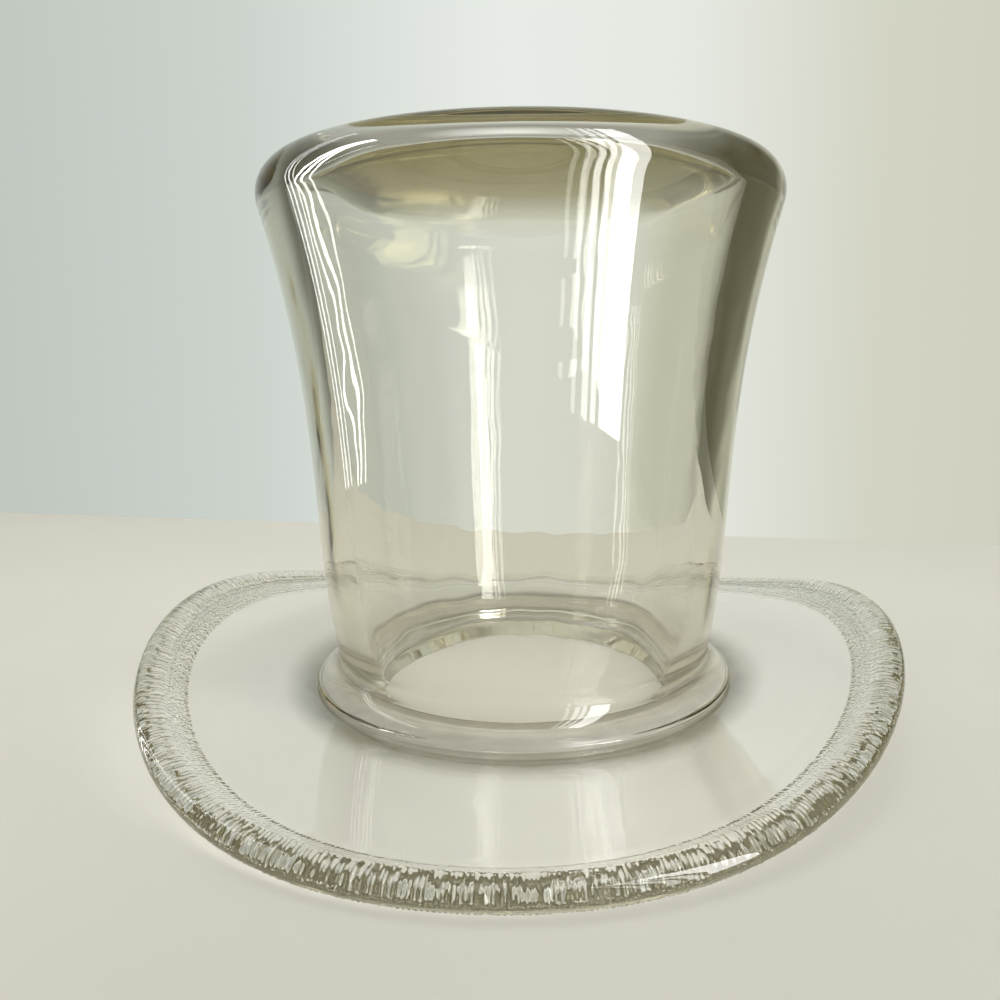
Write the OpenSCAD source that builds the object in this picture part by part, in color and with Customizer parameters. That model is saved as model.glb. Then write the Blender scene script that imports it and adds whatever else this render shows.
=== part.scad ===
// Clear glass top hat: a heavy bell crown cemented on an oval saddle brim.
// Millimetres, +Z up. Origin under the middle of the crown, on the table. X is the hat's width, Y its length.

/* [Brim] */
// Overall width of the brim, side to side
brim_w = 200; // [190:1:220]
// Overall length of the brim, front to back
brim_l = 255; // [230:1:290]
// Thickness of the brim plate
brim_t = 5; // [4:0.1:6]
// Angle at which the two sides of the brim rise where they meet the border
side_angle = 31.5; // [15:0.5:36]
// How closely the rise keeps to the two sides
rise_power = 3.3; // [2:0.1:4]
// How late the rise starts on the way out from the crown
rise_ease = 1.3; // [1.1:0.05:1.6]
// Width of the rolled border, in plan
border_w = 10; // [8:0.1:12]
// Thickness of the rolled border
border_t = 6.8; // [6.4:0.1:9]

/* [Crown] */
// Height of the crown, from its foot to its flat top
crown_h = 139; // [126:0.5:148]
// Crown length divided by crown width
crown_ratio = 1.15; // [1.08:0.01:1.22]
// Width across the out-turned foot
foot_w = 117; // [113:0.5:119]
// Width at the waist, just above the foot
waist_w = 104; // [101:0.5:106]
// Width that the lower part of the flare leans to
lower_flare_w = 118.5; // [114:0.5:122]
// Width that the upper part of the flare leans to
upper_flare_w = 108; // [105:0.5:114]
// Width where the flare meets the shoulder
top_w = 138.5; // [132:0.5:146]
// Wall thickness
wall_t = 9.1; // [6:0.1:12]
// Thickness of the closed top, at the corner inside
top_t = 5.3; // [4:0.1:7]
// How much thicker the closed top is in its middle
top_swell = 9.7; // [6:0.1:11]
// Radius of the outer shoulder
shoulder_r = 9.4; // [7:0.1:11]
// Radius of the corner inside, under the closed top
ceiling_r = 3.8; // [3:0.1:6]
// Radius of the hollow curve from waist to foot
foot_fillet_r = 5.5; // [4:0.1:6.5]
// Thickness of the foot's thin edge
foot_t = 1.4; // [1:0.1:2.4]

/* [Cement] */
// Thickness of the cement layer
cement_t = 0.25; // [0.15:0.05:0.6]
// How far the cement stays back from the edges of the foot
cement_back = 1.5; // [1:0.1:3]

/* [Hidden] */
$fn = 96;

stations = 96;             // sections round the brim
cut = 400;                 // side of the blocks that cut flat faces
over = 1;                  // how far a cutter runs past the face it cuts
foot_z = brim_t + cement_t;

// The flare is one cubic curve between the foot fillet and the shoulder, in half-widths.
waist_r = waist_w / 2;
lower_flare_share = 0.266; // heights of the two widths that the flare leans to, as shares of the crown
upper_flare_share = 0.528;
shoulder_share = 1.28;     // height of the shoulder, in shoulder radii
flare_top_h = crown_h - shoulder_r * shoulder_share;
flare_steps = 20;
arc_steps = 7;
ceiling_rings = 12;        // cones that make up the swell of the closed top
swell_power = 4.1;         // how flat the swell is in its middle
fillet_c = [waist_r + foot_fillet_r, foot_t + foot_fillet_r];
lean_low = 8;              // degrees by which the flare leaves the fillet
flare_start = fillet_c + foot_fillet_r * [cos(180 - lean_low), sin(180 - lean_low)];
flare = [
    flare_start,
    [lower_flare_w / 2, crown_h * lower_flare_share],
    [upper_flare_w / 2, crown_h * upper_flare_share],
    [top_w / 2, flare_top_h]
];

// The cavity keeps the wall thickness on both axes at this half-width.
mean_r = (waist_w + top_w) / 4;
cavity_ratio = (crown_ratio * mean_r - wall_t) / (mean_r - wall_t);
mouth_r = waist_r - wall_t;
ceiling_h = crown_h - top_t;
foot_edge_r = foot_t / 2;

// The brim's flat middle, its rising plate and its rolled border: a soft rise to a crest, then half an oval.
flat_half_w = foot_w / 2 + over;
flat_half_l = flat_half_w * crown_ratio;
bead_u = border_w / 2;
bead_v = border_t / 2;
bead_reach = norm([bead_u * cos(side_angle), bead_v * sin(side_angle)]);
border_in_x = brim_w / 2 - bead_u * cos(side_angle) + bead_v * sin(side_angle) - bead_reach;
border_in_y = brim_l / 2 - border_w;
side_rise = (border_in_x - flat_half_w) * tan(side_angle) / rise_ease;
roll_steps = 4;
bead_steps = 8;
plate_rings = 7;

function cubic(p, t) =
    pow(1 - t, 3) * p[0] + 3 * pow(1 - t, 2) * t * p[1] + 3 * (1 - t) * t * t * p[2] + pow(t, 3) * p[3];

function cubic_way(p, t) =
    pow(1 - t, 2) * (p[1] - p[0]) + 2 * (1 - t) * t * (p[2] - p[1]) + t * t * (p[3] - p[2]);

// Degrees that a direction leans outwards from upright
function lean(way) = atan2(way[0], way[1]);

// Points of an arc, both ends included
function arc(centre, r, from, to, steps) =
    [for (i = [0:steps]) centre + r * [cos(from + (to - from) * i / steps), sin(from + (to - from) * i / steps)]];

// An arc that takes over from a curve's end without a kink and turns inwards to the angle given
function turn_in(end, way, r, to) =
    arc(end + r * [-cos(lean(way)), sin(lean(way))], r, -lean(way), to, arc_steps);

// Height that a corner of the ceiling's radius reaches when it takes over from a curve at a share of it
function corner_crest(p, t) = cubic(p, t)[1] + ceiling_r * (1 + sin(lean(cubic_way(p, t))));

// Share of a curve, a little past its end if need be, at which such a corner reaches the ceiling, found by halving
function corner_share(p, low = 0, high = 1.2, tries = 24) = let(mid = (low + high) / 2)
    tries == 0 ? mid
    : corner_crest(p, mid) < ceiling_h ? corner_share(p, mid, high, tries - 1)
    : corner_share(p, low, mid, tries - 1);

// Outer profile of the crown, from below the foot, round its edge, up the flare and past the flat top
function crown_outline() = let(
    shoulder_end = 82,
    shoulder = turn_in(flare[3], cubic_way(flare, 1), shoulder_r, shoulder_end),
    last = shoulder[arc_steps],
    foot_end = -60,
    edge = arc([foot_w / 2 - foot_edge_r, foot_edge_r], foot_edge_r, foot_end, 90, arc_steps)
) concat(
    [[0, -foot_t], [edge[0][0] - foot_t / 2, -foot_t]],
    edge,
    arc(fillet_c, foot_fillet_r, 270, 180 - lean_low, arc_steps),
    [for (i = [1:flare_steps - 1]) cubic(flare, i / flare_steps)],
    shoulder,
    [[0, last[1] + last[0] / tan(shoulder_end)]]
);

// Profile of the space inside the crown, open at the foot
function cavity_outline() = let(
    inner = [for (p = flare) p - [wall_t, 0]],
    last_t = corner_share(inner),
    steps = round(flare_steps * last_t),
    corner = turn_in(cubic(inner, last_t), cubic_way(inner, last_t), ceiling_r, 90)
) concat(
    [[0, -over], [mouth_r, -over], [mouth_r, fillet_c[1]]],
    [for (i = [1:steps - 1]) cubic(inner, last_t * i / steps)],
    corner,
    [for (i = [ceiling_rings - 1:-1:0]) let(share = i / ceiling_rings)
        [share * corner[arc_steps][0], corner[arc_steps][1] - top_swell * (1 - pow(share, swell_power))]]
);

function oval(a, b, angle) = [a * cos(angle), b * sin(angle)];

// Rise of the underside, at an angle round the brim and a share of the way out to the border
function rise(angle, share) = side_rise * pow(abs(cos(angle)), rise_power) * pow(share, rise_ease);

function plate_run(angle) = norm(oval(border_in_x - flat_half_w, border_in_y - flat_half_l, angle));

function rise_angle(angle, share) =
    share == 0 ? 0 : atan(rise_ease * rise(angle, share) / share / plate_run(angle));

// Outward direction, in plan, at the border's inner edge
function outward(angle) = let(n = [border_in_y * cos(angle), border_in_x * sin(angle)]) n / norm(n);

// A point u out from a place on the underside and v above it, both measured along the tilted glass
function tilted(place, angle, share, u, v) = let(
    tilt = rise_angle(angle, share),
    p = place + outward(angle) * (u * cos(tilt) - v * sin(tilt))
) [p[0], p[1], rise(angle, share) + u * sin(tilt) + v * cos(tilt)];

function plate_point(angle, share, v) =
    tilted(oval(flat_half_w, flat_half_l, angle) * (1 - share) + oval(border_in_x, border_in_y, angle) * share,
        angle, share, 0, v);

function border_point(angle, u, v) = tilted(oval(border_in_x, border_in_y, angle), angle, 1, u, v);

// The border's top, at a share of the way from the plate to its crest
function roll_point(angle, share) =
    border_point(angle, bead_u * share, brim_t + (border_t - brim_t) * share * share * (3 - 2 * share));

// The border's round edge, at an angle round it
function bead_point(angle, turn) = border_point(angle, bead_u * (1 + cos(turn)), bead_v * (1 + sin(turn)));

// One ring of points for each line that runs round the brim: over the plate, round the border and back below
function brim_rings() = let(
    angles = [for (i = [0:stations - 1]) 360 * i / stations]
) concat(
    [for (i = [0:plate_rings]) [for (a = angles) plate_point(a, i / plate_rings, brim_t)]],
    [for (i = [1:roll_steps]) [for (a = angles) roll_point(a, i / roll_steps)]],
    [for (i = [1:bead_steps]) [for (a = angles) bead_point(a, 90 - 180 * i / bead_steps)]],
    [for (i = [0:plate_rings]) [for (a = angles) plate_point(a, 1 - i / plate_rings, 0)]]
);

// Plate and rolled border as one skin, before the opening is cut
module brim_blank() {
    rings = brim_rings();
    n = stations;
    points = [for (ring = rings) each ring];
    sides = [
        for (r = [0:len(rings) - 2], i = [0:n - 1]) let(j = (i + 1) % n)
            each [
                [r * n + i, r * n + j, (r + 1) * n + i],
                [r * n + j, (r + 1) * n + j, (r + 1) * n + i]
            ]
    ];
    top = [for (i = [n - 1:-1:0]) i];
    bottom = [for (i = [0:n - 1]) (len(rings) - 1) * n + i];
    polyhedron(points = points, faces = concat([top], sides, [bottom]), convexity = 6);
}

module oval_rod(half_w, ratio, bottom, top) {
    translate([0, 0, bottom])
        scale([1, ratio, 1])
            cylinder(r = half_w, h = top - bottom);
}

module brim() {
    color([0.83, 0.84, 0.79, 0.5])
        difference() {
            brim_blank();
            oval_rod(mouth_r, cavity_ratio, -over, brim_t + over);
        }
}

module cement_ring() {
    color([0.72, 0.71, 0.62, 0.7])
        difference() {
            oval_rod(foot_w / 2 - cement_back, crown_ratio, brim_t, foot_z);
            oval_rod(mouth_r + cement_back, cavity_ratio, brim_t - over, foot_z + over);
        }
}

module crown() {
    color([0.86, 0.87, 0.82, 0.45])
        translate([0, 0, foot_z])
            difference() {
                scale([1, crown_ratio, 1]) rotate_extrude() polygon(crown_outline());
                scale([1, cavity_ratio, 1]) rotate_extrude() polygon(cavity_outline());
                translate([-cut / 2, -cut / 2, crown_h]) cube(cut);
                translate([-cut / 2, -cut / 2, -cut]) cube(cut);
            }
}

brim();
cement_ring();
crown();
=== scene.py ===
"""Looks of a clear glass top hat: a heavy bell crown on a saddle brim with a pebbled rolled border."""

import math

import bmesh
import bpy
import numpy as np
from bpy.props import FloatProperty, FloatVectorProperty, IntProperty, PointerProperty
from mathutils import Matrix, Vector


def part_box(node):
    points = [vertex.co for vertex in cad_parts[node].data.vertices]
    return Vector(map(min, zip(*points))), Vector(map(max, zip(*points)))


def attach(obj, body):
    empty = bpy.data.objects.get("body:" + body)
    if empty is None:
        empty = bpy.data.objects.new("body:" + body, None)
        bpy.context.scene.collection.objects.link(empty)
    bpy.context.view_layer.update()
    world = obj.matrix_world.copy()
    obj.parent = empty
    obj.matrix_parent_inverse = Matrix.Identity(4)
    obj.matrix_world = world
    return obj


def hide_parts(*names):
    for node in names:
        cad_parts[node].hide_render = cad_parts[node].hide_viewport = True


bl_info = {
    "name": "Glass Top Hat",
    "version": (1, 0, 0),
    "blender": (4, 5, 0),
    "location": "3D View > Sidebar > Glass Hat",
    "description": "Builds the visible pieces of a clear glass top hat and a plain stage for it",
    "category": "Add Mesh",
}

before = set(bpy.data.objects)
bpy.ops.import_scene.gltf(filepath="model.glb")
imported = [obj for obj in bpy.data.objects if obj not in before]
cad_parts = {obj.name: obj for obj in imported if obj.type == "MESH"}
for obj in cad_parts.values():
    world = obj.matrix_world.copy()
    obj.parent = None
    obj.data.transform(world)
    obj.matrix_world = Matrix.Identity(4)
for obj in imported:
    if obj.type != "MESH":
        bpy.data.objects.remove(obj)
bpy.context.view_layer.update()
_, BRIM_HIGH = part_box("brim")
CEMENT_LOW, CEMENT_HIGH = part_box("cement_ring")
CROWN_LOW, CROWN_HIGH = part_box("crown")

MM = 0.001

# Mesh fineness: points round each ring
CROWN_SECTORS = 320
BRIM_SECTORS = 320
PEBBLE_SECTORS = 6 * BRIM_SECTORS

# Mesh fineness: rings along each stretch of the crown's section, from the top's middle to the ceiling's
TOP_RINGS = 14
SHOULDER_RINGS = 14
FLARE_RINGS = 68
HOLLOW_RINGS = 22
LIP_RINGS = 12
UNDER_RINGS = 7
MOUTH_RINGS = 6
WALL_RINGS = 74
CORNER_RINGS = 12
CEILING_RINGS = 30

# Mesh fineness: rings along each stretch of the brim's section
OPENING_RINGS = 5
SEAT_RINGS = 9
PLATE_RINGS = 15
ROLL_RINGS = 9
BEAD_RINGS = 15
PEBBLE_EDGE_RINGS = 17
PEBBLE_FLAT_RINGS = 20
UNDERSIDE_RINGS = 10

# Shares and angles of the source that shape the crown, and where the corner inside may start at the latest
LOWER_FLARE_SHARE = 0.266
UPPER_FLARE_SHARE = 0.528
SHOULDER_SHARE = 1.28
SWELL_POWER = 4.1
LEAN_LOW = math.radians(8)
LAST_CORNER_SHARE = 1.2

# Waves in the crown's glass: seeds, and least and most turns round the crown
OUTER_SEED = 3
INNER_SEED = 11
CHILL_SEED = 17
SLOW_TURNS = (3, 17)
CHILL_TURNS = (4, 40)
CHILL_STEEPNESS = 16
CHILL_COUNT = 14

# Waves along the two edges of the cement
CEMENT_OUTER_SEED = 21
CEMENT_INNER_SEED = 22
CEMENT_TURNS = (3, 12)

# Degrees round the border's edge at which the pebbles start, and those of the last plain rings before them
PEBBLE_START = -20
BEFORE_PEBBLES = -16
PLAIN_EDGE_END = -12

# Share of the way out at which the plain underside starts, inside the pebbles
UNDERSIDE_START = 0.82

# How round the border's rise is between a straight slope, 0, and a full S, 1
RISE_ROUNDNESS = 0.4

# The viewpoint of the photograph, worked out from the outlines of the crown and the brim
CAMERA_SIDE = 24.1 * MM
CAMERA_BACK = 281.2 * MM
CAMERA_UP = 94.7 * MM
CAMERA_YAW = math.radians(-6.22)
CAMERA_PITCH = math.radians(8.34)
CAMERA_ROLL = math.radians(-0.52)
CAMERA_FOCUS_PX = 1000
IMAGE_PX = 1000
SENSOR_W = 36

# Light runs along the thick glass in many reflections before it leaves
GLASS_BOUNCES = 48


def linear(hex_colour):
    """An sRGB hex colour as linear red, green and blue."""
    parts = [int(hex_colour[i:i + 2], 16) / 255 for i in (1, 3, 5)]
    return tuple(c / 12.92 if c <= 0.04045 else ((c + 0.055) / 1.055) ** 2.4 for c in parts)


def length(name, default_mm, description):
    """A length property, in metres, with its default given in millimetres."""
    return FloatProperty(
        name=name, description=description, default=default_mm * MM, min=0, unit="LENGTH", precision=5)


def colour(name, hex_colour, description):
    """A colour property with its default given as sRGB hex."""
    return FloatVectorProperty(
        name=name, description=description, default=linear(hex_colour), subtype="COLOR", min=0, max=1)


class HatSizes(bpy.types.PropertyGroup):
    """Sizes of the hat's visible pieces."""

    waist_w: length("Waist width", 104, "Width of the crown just above its foot")
    lower_flare_w: length("Lower flare width", 118.5, "Width that the lower part of the flare leans to")
    upper_flare_w: length("Upper flare width", 108, "Width that the upper part of the flare leans to")
    top_w: length("Top width", 138.5, "Width where the flare meets the shoulder")
    foot_w: length("Foot width", 117, "Width across the out-turned foot")
    foot_t: length("Foot thickness", 1.4, "Thickness of the foot's thin edge")
    foot_fillet_r: length("Foot fillet", 5.5, "Radius from which the flare starts")
    foot_rise: length("Foot rise", 10.5, "Height of the hollow curve from waist to foot")
    wall_t: length("Wall thickness", 9.1, "Thickness of the crown's wall")
    top_t: length("Top thickness", 5.3, "Thickness of the crown's closed top, at the corner inside")
    top_swell: length("Top swell", 9.7, "How much thicker the closed top is in its middle")
    shoulder_r: length("Shoulder radius", 9.4, "Radius of the outer shoulder")
    ceiling_r: length("Ceiling radius", 3.8, "Radius of the corner inside, under the closed top")
    outer_wave: length("Outer wave", 0.05, "Depth of the slow waves on the outside of the crown")
    inner_wave: length("Inner wave", 0.3, "Depth of the streaky waves on the inside of the crown")
    chill_wave: length("Chill wave", 0.018, "Depth of the fine ripples inside the crown")
    side_angle: FloatProperty(
        name="Side angle", description="Angle at which the sides of the brim rise to the border",
        default=math.radians(31.5), subtype="ANGLE")
    rise_power: FloatProperty(
        name="Rise power", description="How closely the rise keeps to the two sides of the brim", default=3.3)
    rise_ease: FloatProperty(
        name="Rise ease", description="How late the rise starts on the way out from the crown", default=1.3)
    border_w: length("Border width", 10, "Width of the rolled border")
    border_t: length("Border thickness", 6.8, "Thickness of the rolled border")
    edge_r: length("Edge radius", 0.25, "Rounding of the edges of the opening and the mouth")
    pebble_pitch: length("Pebble pitch", 1, "Distance between the pebbles along the border")
    pebble_stretch: FloatProperty(
        name="Pebble stretch", description="Length of a pebble across the border, in pitches", default=1.5)
    pebble_depth: length("Pebble depth", 0.46, "Depth of the hollows between the pebbles")
    pebble_reach: length("Pebble reach", 3, "How far in under the plate the pebbles go")
    pebble_fade: length("Pebble fade", 1, "Width over which the pebbles fade away there")
    pebble_seed: IntProperty(name="Pebble seed", description="Seed of the pebbles' places", default=7)


class HatLooks(bpy.types.PropertyGroup):
    """Colours and finishes of the hat and its stage."""

    glass_tint: colour("Glass tint", "#D9D4B3", "Colour that light keeps on its way through thick glass")
    crown_density: FloatProperty(
        name="Crown density", description="How fast the tint builds up in the crown, per metre", default=23)
    brim_density: FloatProperty(
        name="Brim density", description="How fast the tint builds up in the brim, per metre", default=13)
    # Painted shade: the tone that the brim's glass darkens to round the crown's foot, where the foot shades
    # it
    seam_shade_tone: colour("Dust", "#AEACA0", "Tone of the dust round the crown's foot")
    cement_tone: colour("Cement", "#F2EFE3", "Colour of the cured cement")
    table_tone: colour("Table", "#ECEAE0", "Colour of the table")


def cubic(p, t):
    """Points of a cubic curve with control points p."""
    t = np.asarray(t)[..., None]
    return (1 - t) ** 3 * p[0] + 3 * (1 - t) ** 2 * t * p[1] + 3 * (1 - t) * t ** 2 * p[2] + t ** 3 * p[3]


def cubic_lean(p, t):
    """Angle by which a cubic curve leans outwards from upright."""
    t = np.asarray(t)[..., None]
    way = (1 - t) ** 2 * (p[1] - p[0]) + 2 * (1 - t) * t * (p[2] - p[1]) + t ** 2 * (p[3] - p[2])
    return np.arctan2(way[..., 0], way[..., 1])


def arc(centre, radius, start, stop, count):
    """Points of an arc between two angles in degrees, both ends included."""
    turn = np.radians(np.linspace(start, stop, count))
    return np.stack([centre[0] + radius * np.cos(turn), centre[1] + radius * np.sin(turn)], axis=1)


def level(start, stop, height, count):
    """Points between two half-widths at one height, both ends left out."""
    reach = np.linspace(start, stop, count + 2)[1:-1]
    return np.stack([reach, np.full(count, height)], axis=1)


def angles_round(count):
    """Evenly spaced angles once round."""
    return np.arange(count) * 2 * math.pi / count


def ripple(angle, climb, seed, least, most, steep=0.7, count=9):
    """Waves with whole turns round a form and some climb, about -1 to 1 and the same on every run."""
    rng = np.random.default_rng(seed)
    total = 0
    for _ in range(count):
        turns = rng.integers(least, most + 1)
        slope = rng.uniform(-steep, steep)
        phase = rng.uniform(0, 2 * math.pi)
        total = total + np.cos(turns * angle + 2 * math.pi * slope * climb + phase)
    return total / math.sqrt(2 * count)


def skin(name, rings, closed):
    """A smooth mesh object through rings of points, where a ring may have a few times as many as the next."""
    starts = np.cumsum([0] + [len(ring) for ring in rings])
    pairs = list(zip(range(len(rings) - 1), range(1, len(rings))))
    faces = []
    if closed:
        pairs.append((len(rings) - 1, 0))
    else:
        faces.append(tuple(range(len(rings[0]))))
        faces.append(tuple(starts[-2] + i for i in range(len(rings[-1]))))
    for a, b in pairs:
        if len(rings[a]) > len(rings[b]):
            a, b = b, a
        few = len(rings[a])
        many = len(rings[b])
        step = many // few
        for i in range(few):
            near = (starts[a] + i, starts[a] + (i + 1) % few)
            far = tuple(starts[b] + (i * step + k) % many for k in range(step, -1, -1))
            faces.append(near + far)
    mesh = bpy.data.meshes.new(name)
    mesh.from_pydata(np.concatenate(rings).tolist(), [], faces)
    work = bmesh.new()
    work.from_mesh(mesh)
    bmesh.ops.recalc_face_normals(work, faces=work.faces)
    work.to_mesh(mesh)
    work.free()
    mesh.shade_smooth()
    piece = bpy.data.objects.new(name, mesh)
    bpy.context.scene.collection.objects.link(piece)
    return piece


class CrownShape:
    """The crown's section, as half-widths and heights above its foot.

    It has the same formulas as the source, apart from the taller hollow of the foot.
    """

    def __init__(self, sizes):
        self.sizes = sizes
        self.height = CROWN_HIGH.z - CROWN_LOW.z
        self.ratio = CROWN_HIGH.y / CROWN_HIGH.x
        waist_r = sizes.waist_w / 2
        self.mouth_r = waist_r - sizes.wall_t
        self.fillet = np.array([waist_r + sizes.foot_fillet_r, sizes.foot_t + sizes.foot_fillet_r])
        start = self.fillet + sizes.foot_fillet_r * np.array([-math.cos(LEAN_LOW), math.sin(LEAN_LOW)])
        self.flare = np.array([
            start,
            [sizes.lower_flare_w / 2, self.height * LOWER_FLARE_SHARE],
            [sizes.upper_flare_w / 2, self.height * UPPER_FLARE_SHARE],
            [sizes.top_w / 2, self.height - SHOULDER_SHARE * sizes.shoulder_r],
        ])
        mean_r = (sizes.waist_w + sizes.top_w) / 4
        self.cavity_ratio = (self.ratio * mean_r - sizes.wall_t) / (mean_r - sizes.wall_t)

    def outside(self):
        """From the middle of the top over the shoulder and down the flare to the foot's lower edge."""
        sizes = self.sizes
        lean = cubic_lean(self.flare, 1.0)
        centre = self.flare[3] + sizes.shoulder_r * np.array([-math.cos(lean), math.sin(lean)])
        crest = centre[1] + sizes.shoulder_r
        foot_edge_r = sizes.foot_t / 2
        lip = sizes.foot_w / 2 - foot_edge_r
        return np.concatenate([
            level(0, centre[0], crest, TOP_RINGS),
            arc(centre, sizes.shoulder_r, 90, -math.degrees(lean), SHOULDER_RINGS),
            *self.skirt(lip),
            arc((lip, foot_edge_r), foot_edge_r, 88, -90, LIP_RINGS),
        ])

    def skirt(self, lip):
        """Down the flare, and from its lower part down the foot's hollow to the top of the thin edge."""
        sizes = self.sizes
        lower_part = np.linspace(0, 0.3, 200)
        low = np.interp(sizes.foot_rise, cubic(self.flare, lower_part)[:, 1], lower_part)
        lean = cubic_lean(self.flare, low)
        start = cubic(self.flare, low)
        hollow = np.array([
            start,
            start - sizes.foot_rise / 2 * np.array([math.sin(lean), math.cos(lean)]),
            [lip - sizes.foot_rise / 5, sizes.foot_t * 1.3],
            [lip, sizes.foot_t],
        ])
        above = cubic(self.flare, np.linspace(1, low, FLARE_RINGS)[1:])
        below = cubic(hollow, np.linspace(0, 1, HOLLOW_RINGS)[1:])
        return above, below

    def inside(self):
        """From the mouth's rounded edge up the wall and round the corner to the middle of the ceiling."""
        sizes = self.sizes
        inner = self.flare - [sizes.wall_t, 0]
        share = np.linspace(0.5, LAST_CORNER_SHARE, 500)
        crest = cubic(inner, share)[:, 1] + sizes.ceiling_r * (1 + np.sin(cubic_lean(inner, share)))
        last = np.interp(self.height - sizes.top_t, crest, share)
        lean = cubic_lean(inner, last)
        centre = cubic(inner, last) + sizes.ceiling_r * np.array([-math.cos(lean), math.sin(lean)])
        straight = np.linspace(sizes.edge_r, self.fillet[1], MOUTH_RINGS)[1:-1]
        return np.concatenate([
            arc((self.mouth_r + sizes.edge_r, sizes.edge_r), sizes.edge_r, 270, 180, MOUTH_RINGS),
            np.stack([np.full(len(straight), self.mouth_r), straight], axis=1),
            cubic(inner, np.linspace(0, last, WALL_RINGS)[:-1]),
            arc(centre, sizes.ceiling_r, -math.degrees(lean), 90, CORNER_RINGS),
            self.ceiling(centre[0]),
        ])

    def ceiling(self, reach):
        """From the corner inside to the middle of the ceiling, where the closed top is thickest."""
        share = np.linspace(1, 0, CEILING_RINGS)[1:-1]
        drop = self.sizes.top_t + self.sizes.top_swell * (1 - share ** SWELL_POWER)
        return np.stack([share * reach, self.height - drop], axis=1)


class BrimShape:
    """The brim's seat, plate and rolled border.

    It has the same formulas as the source, apart from the rounded opening and the straighter rise.
    """

    def __init__(self, sizes, crown):
        self.sizes = sizes
        self.mouth_w = crown.mouth_r
        self.mouth_l = crown.mouth_r * crown.cavity_ratio
        self.thick = CEMENT_LOW.z
        self.half_w = sizes.foot_w / 2 + 1 * MM
        self.half_l = self.half_w * crown.ratio
        self.bead_u = sizes.border_w / 2
        self.bead_v = sizes.border_t / 2
        lean = sizes.side_angle
        reach = math.hypot(self.bead_u * math.cos(lean), self.bead_v * math.sin(lean))
        self.border_x = BRIM_HIGH.x - self.bead_u * math.cos(lean) + self.bead_v * math.sin(lean) - reach
        self.border_y = BRIM_HIGH.y - sizes.border_w
        self.side_rise = (self.border_x - self.half_w) * math.tan(lean) / sizes.rise_ease

    def opening(self, angle, turn, height):
        """A ring of the opening's rounded edge, at an angle in radians round a centre at that height."""
        edge = self.sizes.edge_r
        out = edge * (1 + math.cos(turn))
        return oval(angle, self.mouth_w + out, self.mouth_l + out, height + edge * math.sin(turn))

    def seat(self, angle, share, height):
        """A ring of the flat seat, at a share of the way from the opening to the plate."""
        edge = self.sizes.edge_r
        half_w = (self.mouth_w + edge) * (1 - share) + self.half_w * share
        half_l = (self.mouth_l + edge) * (1 - share) + self.half_l * share
        return oval(angle, half_w, half_l, height)

    def roll(self, share):
        """Distance out and height of the border's soft rise, at a share of the way to its crest."""
        ease = share + (smooth_step(share, 0, 1) - share) * RISE_ROUNDNESS
        return self.bead_u * share, self.thick + (self.sizes.border_t - self.thick) * ease

    def bead(self, turn):
        """Distance out and height of the border's round edge, at an angle round it in radians."""
        return self.bead_u * (1 + np.cos(turn)), self.bead_v * (1 + np.sin(turn))

    def place(self, angle, share, u, v):
        """Points u out from and v above the underside, along the tilted glass, at a share of the way out."""
        sizes = self.sizes
        run_x = (self.border_x - self.half_w) * np.cos(angle)
        run_y = (self.border_y - self.half_l) * np.sin(angle)
        run = np.hypot(run_x, run_y)
        rise = self.side_rise * np.abs(np.cos(angle)) ** sizes.rise_power
        tilt = np.arctan(sizes.rise_ease * rise * share ** (sizes.rise_ease - 1) / run)
        x = (self.half_w * (1 - share) + self.border_x * share) * np.cos(angle)
        y = (self.half_l * (1 - share) + self.border_y * share) * np.sin(angle)
        out_x = self.border_y * np.cos(angle)
        out_y = self.border_x * np.sin(angle)
        size = np.hypot(out_x, out_y)
        out = u * np.cos(tilt) - v * np.sin(tilt)
        up = rise * share ** sizes.rise_ease + u * np.sin(tilt) + v * np.cos(tilt)
        return np.stack([x + out * out_x / size, y + out * out_y / size, up], axis=-1)


def oval(angle, half_w, half_l, height):
    """An oval ring of points at one height."""
    return np.stack([half_w * np.cos(angle), half_l * np.sin(angle), np.full_like(angle, height)], axis=-1)


def pebble_hollow(along, across, whole, pitch, stretch, seed):
    """Depth between pebbles, 0 on their crests to 1 in the joints, on a border that is whole long."""
    wander = 0.34
    joint_w = 0.7
    sharpness = 1.5
    columns = round(whole / pitch)
    across = across / stretch
    rows = math.ceil(across.max() / pitch) + 3
    step = whole / columns
    rng = np.random.default_rng(seed)
    scatter = rng.uniform(-wander, wander, (rows, columns, 2))
    column = np.floor(along / step).astype(int)
    row = np.floor(across / pitch).astype(int) + 1
    nearest = np.full(along.shape, np.inf)
    second = np.full(along.shape, np.inf)
    for d_row in (-1, 0, 1):
        for d_column in (-1, 0, 1):
            jitter = scatter[np.clip(row + d_row, 0, rows - 1), (column + d_column) % columns]
            gap_a = (column + d_column + 0.5 + jitter[..., 0]) - along / step
            gap_b = (row + d_row - 0.5 + jitter[..., 1]) - across / pitch
            gap = np.hypot(gap_a, gap_b)
            second = np.minimum(second, np.maximum(nearest, gap))
            nearest = np.minimum(nearest, gap)
    joint = np.clip(1 - (second - nearest) / joint_w, 0, 1)
    return joint ** sharpness


def smooth_step(value, low, high):
    """0 below low, 1 above high and a smooth way between."""
    t = np.clip((value - low) / (high - low), 0, 1)
    return t * t * (3 - 2 * t)


def add_node(tree, kind, settings=None, links=None):
    """Adds a node, sets its properties or input values, and links its inputs to other nodes' outputs."""
    node = tree.nodes.new(kind)
    for key, value in (settings or {}).items():
        if isinstance(key, str) and hasattr(node, key):
            setattr(node, key, value)
        else:
            node.inputs[key].default_value = value
    for key, (source, output) in (links or {}).items():
        tree.links.new(source.outputs[output], node.inputs[key])
    return node


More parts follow.
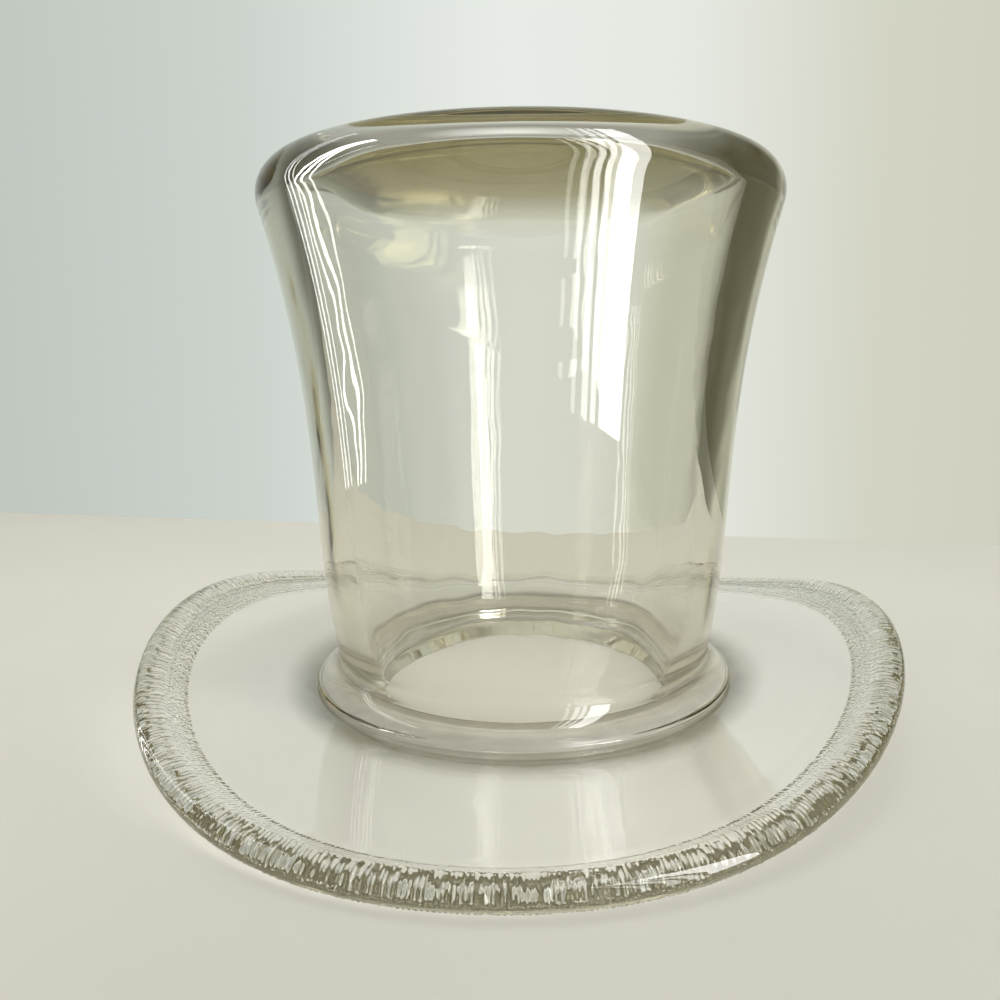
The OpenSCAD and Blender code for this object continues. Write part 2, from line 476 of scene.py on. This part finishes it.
def empty_material(name):
    """A new material with nothing but its output node."""
    material = bpy.data.materials.new(name)
    material.use_nodes = True
    tree = material.node_tree
    tree.nodes.clear()
    return material, tree, tree.nodes.new("ShaderNodeOutputMaterial")


def seam_painted_shade(tree, where, seam, looks):
    """Painted shade on the brim round the crown's foot, in uneven patches: darkest at the seam and gone a
    little way out.
    """
    half_w, half_l = seam
    reach = 11 * MM
    patch = 9 * MM
    object_place = (where, "Object")
    place = add_node(
        tree, "ShaderNodeVectorMath", {"operation": "MULTIPLY", 1: (1 / half_w, 1 / half_l, 0)},
        {0: object_place})
    out = add_node(tree, "ShaderNodeVectorMath", {"operation": "LENGTH"}, {0: (place, "Vector")})
    cloud = add_node(tree, "ShaderNodeTexNoise", {"Scale": 1 / patch, "Detail": 3}, {"Vector": object_place})
    lump = add_node(tree, "ShaderNodeMapRange", {"To Min": 0.6, "To Max": 1.4}, {"Value": (cloud, "Fac")})
    start = add_node(
        tree, "ShaderNodeMapRange", {"interpolation_type": "SMOOTHSTEP", "From Min": 0.97, "From Max": 1.0},
        {"Value": (out, "Value")})
    end = 1 + reach / half_w
    fall = add_node(
        tree, "ShaderNodeMapRange",
        {"interpolation_type": "SMOOTHSTEP", "From Min": 1.0, "From Max": end, "To Min": 1, "To Max": 0},
        {"Value": (out, "Value")})
    ring = add_node(
        tree, "ShaderNodeMath", {"operation": "MULTIPLY"}, {0: (start, "Result"), 1: (fall, "Result")})
    # Strength of the painted shade, uneven in patches
    thick = add_node(
        tree, "ShaderNodeMath", {"operation": "MULTIPLY", "use_clamp": True},
        {0: (ring, "Value"), 1: (lump, "Result")})
    # From clear white at no shade to the painted shade tone at the seam
    return add_node(
        tree, "ShaderNodeMix", {"data_type": "RGBA", 6: (1, 1, 1, 1), 7: (*looks.seam_shade_tone, 1)},
        {0: (thick, "Value")})


def soda_lime_glass(name, looks, density, seam=None):
    """Fire-polished soda-lime glass: clear and glossy, with an olive tint where light runs far through it."""
    swell = 9 * MM
    material, tree, output = empty_material(name)
    where = add_node(tree, "ShaderNodeTexCoord")
    waves = add_node(
        tree, "ShaderNodeTexNoise", {"Scale": 1 / swell, "Detail": 2}, {"Vector": (where, "Object")})
    relief = add_node(
        tree, "ShaderNodeBump", {"Strength": 0.5, "Distance": 0.02 * MM}, {"Height": (waves, "Fac")})
    glass = add_node(
        tree, "ShaderNodeBsdfPrincipled",
        {"Base Color": (1, 1, 1, 1), "Roughness": 0.0, "IOR": 1.52, "Transmission Weight": 1.0},
        {"Normal": (relief, "Normal")})
    body = add_node(
        tree, "ShaderNodeVolumeAbsorption", {"Color": (*looks.glass_tint, 1), "Density": density})
    # The brim's glass is painted darker round the crown's foot, as shade from the foot and the seam
    if seam:
        seam_shade = seam_painted_shade(tree, where, seam, looks)
        tree.links.new(seam_shade.outputs[2], glass.inputs["Base Color"])
    tree.links.new(glass.outputs["BSDF"], output.inputs["Surface"])
    tree.links.new(body.outputs["Volume"], output.inputs["Volume"])
    return material


def cured_cement(name, looks):
    """Cured clear cement: a little milky, in soft clouds, so the glass above it shows an even warm tone."""
    cloud = 7 * MM
    material, tree, output = empty_material(name)
    where = add_node(tree, "ShaderNodeTexCoord")
    haze = add_node(
        tree, "ShaderNodeTexNoise", {"Scale": 1 / cloud, "Detail": 3}, {"Vector": (where, "Object")})
    clear = add_node(tree, "ShaderNodeMapRange", {"To Min": 0.3, "To Max": 0.6}, {"Value": (haze, "Fac")})
    resin = add_node(
        tree, "ShaderNodeBsdfPrincipled",
        {"Base Color": (*looks.cement_tone, 1), "IOR": 1.52, "Roughness": 0.0, "Specular IOR Level": 0.5},
        {"Transmission Weight": (clear, "Result")})
    tree.links.new(resin.outputs["BSDF"], output.inputs["Surface"])
    return material


def painted_board(name, looks):
    """A pale matt board for the table: even, with a faint cloudiness."""
    cloud = 140 * MM
    material, tree, output = empty_material(name)
    where = add_node(tree, "ShaderNodeTexCoord")
    drift = add_node(
        tree, "ShaderNodeTexNoise", {"Scale": 1 / cloud, "Detail": 2}, {"Vector": (where, "Object")})
    shade = add_node(tree, "ShaderNodeMapRange", {"To Min": 0.94, "To Max": 1.04}, {"Value": (drift, "Fac")})
    tone = add_node(
        tree, "ShaderNodeVectorMath", {"operation": "SCALE", 0: looks.table_tone},
        {"Scale": (shade, "Result")})
    board = add_node(
        tree, "ShaderNodeBsdfPrincipled", {"Roughness": 0.8, "Specular IOR Level": 0.0},
        {"Base Color": (tone, "Vector")})
    tree.links.new(board.outputs["BSDF"], output.inputs["Surface"])
    return material


def hand_in(piece, node, material):
    """Gives a piece its material and sets it in the frame in place of the node."""
    piece.data.materials.append(material)
    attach(piece, "root")
    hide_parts(node)


class HATLOOKS_OT_crown(bpy.types.Operator):
    """Builds the heavy bell crown as one closed skin of glass."""

    bl_idname = "hatlooks.crown"
    bl_label = "Crown"

    def execute(self, context):
        sizes = context.scene.hat_sizes
        shape = CrownShape(sizes)
        outside = shape.outside()
        inside = shape.inside()
        under = level(outside[-1, 0], inside[0, 0], 0, UNDER_RINGS)
        section = np.concatenate([outside, under, inside])
        ratio = np.concatenate([
            np.full(len(outside), shape.ratio),
            np.linspace(shape.ratio, shape.cavity_ratio, len(under) + 2)[1:-1],
            np.full(len(inside), shape.cavity_ratio),
        ])
        first_under = len(outside)
        first_inside = first_under + len(under)
        angle = angles_round(CROWN_SECTORS)
        rings = []
        for i, (reach, height) in enumerate(section):
            climb = height / shape.height
            wave = 0
            if i < first_under:
                wave = self.slow_wave(sizes.outer_wave, angle, climb, OUTER_SEED)
            elif i >= first_inside:
                wave = self.slow_wave(sizes.inner_wave, angle, climb, INNER_SEED)
                wave = wave + sizes.chill_wave * ripple(
                    angle, climb, CHILL_SEED, *CHILL_TURNS, steep=CHILL_STEEPNESS, count=CHILL_COUNT)
            radius = reach - self.on_wall(reach, height) * wave
            rings.append(oval(angle, radius, radius * ratio[i], CROWN_LOW.z + height))
        piece = skin("glass_crown", rings, closed=False)
        looks = context.scene.hat_looks
        glass = soda_lime_glass("Pressed soda-lime glass, crown", looks, looks.crown_density)
        hand_in(piece, "crown", glass)
        return {"FINISHED"}

    def slow_wave(self, depth, angle, climb, seed):
        """How far slow waves set the glass back, round one ring."""
        mean = 1.5
        return depth * (mean + ripple(angle, climb, seed, *SLOW_TURNS)) / 2

    def on_wall(self, reach, height):
        """1 on the wall, going down to 0 towards the foot and the middle of the top."""
        return smooth_step(height, 8 * MM, 24 * MM) * smooth_step(reach, 20 * MM, 44 * MM)


class HATLOOKS_OT_brim(bpy.types.Operator):
    """Builds the saddle brim with its rolled border and the pebbles on the border's underside."""

    bl_idname = "hatlooks.brim"
    bl_label = "Brim"

    def execute(self, context):
        sizes = context.scene.hat_sizes
        crown = CrownShape(sizes)
        shape = BrimShape(sizes, crown)
        coarse = angles_round(BRIM_SECTORS)
        middle = angles_round(2 * BRIM_SECTORS)
        rings = []
        for turn in np.radians(np.linspace(180, 90, OPENING_RINGS)):
            rings.append(shape.opening(coarse, turn, shape.thick - sizes.edge_r))
        for share in np.linspace(0, 1, SEAT_RINGS)[1:-1]:
            rings.append(shape.seat(coarse, share, shape.thick))
        for share in np.linspace(0, 1, PLATE_RINGS):
            rings.append(shape.place(coarse, share, 0, shape.thick))
        for share in np.linspace(0, 1, ROLL_RINGS)[1:]:
            rings.append(shape.place(coarse, 1, *shape.roll(share)))
        for turn in np.radians(np.linspace(90, PLAIN_EDGE_END, BEAD_RINGS)[1:]):
            rings.append(shape.place(coarse, 1, *shape.bead(turn)))
        rings.append(shape.place(middle, 1, *shape.bead(math.radians(BEFORE_PEBBLES))))
        rings.extend(self.pebbled_rings(sizes, shape))
        for angle, past in ((middle, 0.4 * MM), (coarse, 0.9 * MM)):
            rings.append(shape.place(angle, 1, -sizes.pebble_reach - past, 0))
        for share in np.linspace(UNDERSIDE_START, 0, UNDERSIDE_RINGS):
            rings.append(shape.place(coarse, share, 0, 0))
        for share in np.linspace(1, 0, SEAT_RINGS - 1)[1:-1]:
            rings.append(shape.seat(coarse, share, 0))
        for turn in np.radians(np.linspace(270, 180, OPENING_RINGS)):
            rings.append(shape.opening(coarse, turn, sizes.edge_r))
        piece = skin("glass_brim", rings, closed=True)
        looks = context.scene.hat_looks
        seam = (sizes.foot_w / 2, sizes.foot_w / 2 * crown.ratio)
        glass = soda_lime_glass("Pressed soda-lime glass, brim", looks, looks.brim_density, seam)
        hand_in(piece, "brim", glass)
        return {"FINISHED"}

    def pebbled_rings(self, sizes, shape):
        """Rings under the border, sunk between the pebbles, from its outer side to where the pebbles fade."""
        first_fade = 1.2 * MM
        angle = angles_round(PEBBLE_SECTORS)
        turn = np.radians(np.linspace(PEBBLE_START, -90, PEBBLE_EDGE_RINGS))
        bead = np.stack(shape.bead(turn), axis=1)
        inward = -np.stack([np.cos(turn) / shape.bead_u, np.sin(turn) / shape.bead_v], axis=1)
        inward /= np.linalg.norm(inward, axis=1)[:, None]
        flat_u = np.linspace(shape.bead_u, -sizes.pebble_reach, PEBBLE_FLAT_RINGS)[1:]
        flat = np.stack([flat_u, np.zeros_like(flat_u)], axis=1)
        section = np.concatenate([bead, flat])
        normal = np.concatenate([inward, np.tile([0.0, 1.0], (len(flat), 1))])
        across = np.concatenate([[0], np.cumsum(np.linalg.norm(np.diff(section, axis=0), axis=1))])
        middle = shape.place(angle, 1, shape.bead_u, 0)
        steps = np.linalg.norm(np.roll(middle, -1, axis=0) - middle, axis=1)
        along = np.concatenate([[0], np.cumsum(steps)[:-1]])
        rows, columns = np.meshgrid(across, along, indexing="ij")
        hollow = pebble_hollow(
            columns, rows, steps.sum(), sizes.pebble_pitch, sizes.pebble_stretch, sizes.pebble_seed)
        fade = smooth_step(rows, 0, first_fade) * smooth_step(across[-1] - rows, 0, sizes.pebble_fade)
        depth = sizes.pebble_depth * hollow * fade
        for i, (u, v) in enumerate(section):
            yield shape.place(angle, 1, u + depth[i] * normal[i, 0], v + depth[i] * normal[i, 1])


class HATLOOKS_OT_cement(bpy.types.Operator):
    """Builds the thin cement ring with the uneven edges that squeezed cement has."""

    bl_idname = "hatlooks.cement"
    bl_label = "Cement ring"

    def execute(self, context):
        bite = 0.03 * MM  # how far the cement reaches into both glasses, so that no false air gap shows
        bay = 0.3 * MM
        rim = 0.3 * MM  # how far the cement stays back from the mouth
        bulge = 0.04 * MM
        low = CEMENT_LOW.z - bite
        high = CEMENT_HIGH.z + bite
        mid = (low + high) / 2
        crown = CrownShape(context.scene.hat_sizes)
        inner_w = crown.mouth_r + rim
        inner_l = crown.mouth_r * crown.cavity_ratio + rim
        angle = angles_round(CROWN_SECTORS)
        out = bay * np.abs(ripple(angle, 0, CEMENT_OUTER_SEED, *CEMENT_TURNS))
        into = bay / 3 * np.abs(ripple(angle, 0, CEMENT_INNER_SEED, *CEMENT_TURNS))
        outer = [oval(angle, CEMENT_HIGH.x - out - back, CEMENT_HIGH.y - out - back, z)
                 for back, z in ((bulge, low), (0, mid), (bulge, high))]
        inner = [oval(angle, inner_w + into + back, inner_l + into + back, z)
                 for back, z in ((bulge, high), (0, mid), (bulge, low))]
        piece = skin("cement_ring_edge", outer + inner, closed=True)
        hand_in(piece, "cement_ring", cured_cement("Cured clear cement", context.scene.hat_looks))
        return {"FINISHED"}


def aim(thing, place, target):
    """Sets a lamp or camera at a place so that it looks at a target, upright."""
    thing.location = place
    thing.rotation_mode = "QUATERNION"
    thing.rotation_quaternion = (Vector(target) - Vector(place)).to_track_quat("-Z", "Y")


def softbox(name, width, height, radiance, place, target):
    """A rectangular lamp that shows in gloss and glass at the given brightness and leaves the table alone."""
    lamp = bpy.data.lights.new(name, "AREA")
    lamp.shape = "RECTANGLE"
    lamp.size = width
    lamp.size_y = height
    lamp.energy = radiance * math.pi * width * height
    holder = bpy.data.objects.new(name, lamp)
    bpy.context.scene.collection.objects.link(holder)
    aim(holder, place, target)
    holder.visible_camera = False
    holder.visible_diffuse = False
    return holder


# Tones of the room round the hat, by degrees to the right of straight ahead
ROOM_TONES = (
    (-180, "#B4B3A8"), (-120, "#A3A296"), (-90, "#8A897E"), (-62, "#5A5950"),
    (-52, "#7B7C74"), (-34, "#BFC6BF"), (-20, "#CCD3CC"), (-6, "#E8ECE7"),
    (4, "#E6E9E2"), (14, "#D3D4C4"), (22, "#CFCFBE"), (32, "#6A6958"),
    (60, "#55543F"), (90, "#8A897E"), (140, "#A3A296"), (180, "#B4B3A8"),
)
# Tones further up, dim above the walls and bright overhead: tone, and the degrees between which it comes in
UPPER_TONES = (("#A2A29A", 20, 50), ("#FFFFFC", 60, 88))

# Upright strips of light that glint in the glass like tall windows: the degrees to the right of the viewer
# between which each stands, its distance from the hat's middle, its height and its brightness
WINDOW_STRIPS = (
    (30, 32, 0.32, 0.5, 4), (35, 38, 0.32, 0.5, 7), (39.5, 42, 0.32, 0.5, 8), (44, 55.5, 0.32, 0.5, 12),
    (-91, -91.8, 0.32, 0.5, 7), (-94, -95.2, 0.32, 0.5, 7), (-97, -97.8, 0.32, 0.5, 7),
)


class HATLOOKS_OT_stage(bpy.types.Operator):
    """Sets up the pale table, the plain room tones, the lamps and the camera."""

    bl_idname = "hatlooks.stage"
    bl_label = "Stage"

    def execute(self, context):
        scene = context.scene
        scene.view_settings.view_transform = "Standard"
        for kind in ("max_bounces", "glossy_bounces", "transmission_bounces"):
            setattr(scene.cycles, kind, GLASS_BOUNCES)
        self.table(scene.hat_looks)
        self.room(scene)
        self.lamps()
        self.camera(scene)
        return {"FINISHED"}

    def table(self, looks):
        """A board whose far edge runs behind the hat, a hair below the glass."""
        drop = -0.2 * MM
        side = 1.6
        far = 0.25
        skew = 0.13
        corners = [(-side, far + skew * side, drop), (side, far - skew * side, drop),
                   (side, -side, drop), (-side, -side, drop)]
        mesh = bpy.data.meshes.new("table")
        mesh.from_pydata(corners, [], [(3, 2, 1, 0)])
        mesh.materials.append(painted_board("Pale painted board", looks))
        board = bpy.data.objects.new("table", mesh)
        bpy.context.scene.collection.objects.link(board)

    def room(self, scene):
        """Plain walls all round as a world, pale behind the hat and darker at its sides."""
        world = bpy.data.worlds.new("Plain room")
        scene.world = world
        world.use_nodes = True
        tree = world.node_tree
        tree.nodes.clear()
        where = add_node(tree, "ShaderNodeTexCoord")
        axes = add_node(tree, "ShaderNodeSeparateXYZ", links={"Vector": (where, "Generated")})
        turn = add_node(tree, "ShaderNodeMath", {"operation": "ARCTAN2"}, {0: (axes, "X"), 1: (axes, "Y")})
        share = add_node(
            tree, "ShaderNodeMapRange", {"From Min": -math.pi, "From Max": math.pi},
            {"Value": (turn, "Value")})
        tones = add_node(tree, "ShaderNodeValToRGB", links={"Fac": (share, "Result")})
        ramp = tones.color_ramp
        for degrees, _ in ROOM_TONES[1:-1]:
            ramp.elements.new((degrees + 180) / 360)
        for stop, (degrees, tone) in zip(ramp.elements, ROOM_TONES):
            stop.position = (degrees + 180) / 360
            stop.color = (*linear(tone), 1)
        height = add_node(tree, "ShaderNodeMath", {"operation": "ARCSINE"}, {0: (axes, "Z")})
        last, output = tones, "Color"
        for tone, low, high in UPPER_TONES:
            climb = add_node(
                tree, "ShaderNodeMapRange", {"From Min": math.radians(low), "From Max": math.radians(high)},
                {"Value": (height, "Value")})
            last = add_node(
                tree, "ShaderNodeMix", {"data_type": "RGBA", 7: (*linear(tone), 1)},
                {0: (climb, "Result"), 6: (last, output)})
            output = 2
        light = add_node(tree, "ShaderNodeBackground", {"Strength": 1.0}, {"Color": (last, output)})
        add_node(tree, "ShaderNodeOutputWorld", links={"Surface": (light, "Background")})

    def lamps(self):
        """A soft panel overhead for the table, and upright strips that glint in the glass."""
        side = 0.5
        behind = 0.1
        up = 0.75
        panel = softbox("overhead_panel", side, side, 3.5, (0, behind, up), (0, behind, 0))
        panel.visible_diffuse = True
        panel.visible_glossy = False
        panel.visible_transmission = False
        # Clear glass hardly shades the table, so only the room's light throws the hat's soft shadow
        panel.data.use_shadow = False
        for start, stop, reach, height, radiance in WINDOW_STRIPS:
            turn = math.radians((start + stop) / 2)
            width = 2 * reach * math.tan(math.radians(abs(stop - start) / 2))
            place = (reach * math.sin(turn), -reach * math.cos(turn), height / 2)
            softbox(f"window_{start}", width, height, radiance, place, (0, 0, height / 2))

    def camera(self, scene):
        """The photograph's viewpoint."""
        data = bpy.data.cameras.new("camera")
        data.sensor_width = SENSOR_W
        data.lens = SENSOR_W * CAMERA_FOCUS_PX / IMAGE_PX
        data.clip_start = 0.01
        holder = bpy.data.objects.new("camera", data)
        scene.collection.objects.link(holder)
        ahead = Vector((
            math.sin(CAMERA_YAW) * math.cos(CAMERA_PITCH),
            math.cos(CAMERA_YAW) * math.cos(CAMERA_PITCH),
            -math.sin(CAMERA_PITCH)))
        right = ahead.cross(Vector((0, 0, 1))).normalized()
        up = right.cross(ahead)
        rolled_right = right * math.cos(CAMERA_ROLL) + up * math.sin(CAMERA_ROLL)
        rolled_up = up * math.cos(CAMERA_ROLL) - right * math.sin(CAMERA_ROLL)
        turn = Matrix((rolled_right, rolled_up, -ahead)).transposed()
        holder.matrix_world = Matrix.Translation((CAMERA_SIDE, -CAMERA_BACK, CAMERA_UP)) @ turn.to_4x4()
        scene.camera = holder


class HATLOOKS_PT_panel(bpy.types.Panel):
    """Lists the steps that build the hat."""

    bl_label = "Glass Hat"
    bl_idname = "HATLOOKS_PT_panel"
    bl_space_type = "VIEW_3D"
    bl_region_type = "UI"
    bl_category = "Glass Hat"

    def draw(self, context):
        for step in STEPS:
            self.layout.operator(step.bl_idname)
        for group in (context.scene.hat_sizes, context.scene.hat_looks):
            for key in group.bl_rna.properties.keys():
                if key not in ("rna_type", "name"):
                    self.layout.prop(group, key)


STEPS = (HATLOOKS_OT_stage, HATLOOKS_OT_crown, HATLOOKS_OT_brim, HATLOOKS_OT_cement)
CLASSES = (HatSizes, HatLooks, *STEPS, HATLOOKS_PT_panel)


def register():
    for cls in CLASSES:
        bpy.utils.register_class(cls)
    bpy.types.Scene.hat_sizes = PointerProperty(type=HatSizes)
    bpy.types.Scene.hat_looks = PointerProperty(type=HatLooks)


def unregister():
    del bpy.types.Scene.hat_sizes
    del bpy.types.Scene.hat_looks
    for cls in reversed(CLASSES):
        bpy.utils.unregister_class(cls)


def main():
    register()
    bpy.ops.hatlooks.stage()
    bpy.ops.hatlooks.crown()
    bpy.ops.hatlooks.brim()
    bpy.ops.hatlooks.cement()


if __name__ == "__main__":
    main()
